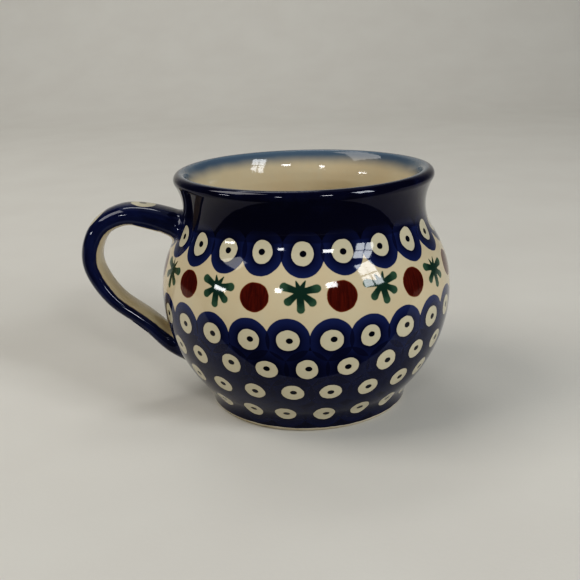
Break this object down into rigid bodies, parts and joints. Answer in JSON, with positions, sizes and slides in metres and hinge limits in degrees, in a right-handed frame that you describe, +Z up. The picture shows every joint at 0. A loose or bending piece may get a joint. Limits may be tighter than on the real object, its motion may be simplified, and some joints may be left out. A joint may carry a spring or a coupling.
{
  "type": "stoneware mug",
  "caption": "Round-bellied glazed stoneware mug with a flared dark collar, an ear-shaped strap handle and a stamped folk decoration of eyes, dots and sprigs.",
  "frame": {"origin": "centre of the foot ring on the plane that the mug stands on, which is on the pot's axis", "axes": "+Z up along the pot's axis, -X towards the handle, +Y across the handle's plane"},
  "size_m": [0.128, 0.1, 0.0818],
  "materials": {
    "clay": "fired stoneware clay under the glaze, matt buff",
    "bare_clay": "unglazed stoneware, matt and slightly rough, cream buff",
    "inside_glaze": "clear gloss glaze over cream clay",
    "collar_glaze": "gloss glaze over deep cobalt blue, softer and greyer at the lip",
    "belly_glaze": "gloss glaze over stamped cobalt eyes, red-brown dots and green sprigs on cream",
    "handle_glaze": "gloss glaze over cobalt blue outside with cream eyes, and cream on the inner face"
  },
  "bodies": {
    "root": {"body": "clay", "foot_ring": "bare_clay", "handle": "clay", "upper_handle_joint": "handle_glaze", "lower_handle_joint": "handle_glaze", "inside_glaze": "inside_glaze", "collar_glaze": "collar_glaze", "belly_glaze": "belly_glaze", "base_glaze": "inside_glaze", "handle_glaze": "handle_glaze"}
  },
  "joints": []
}
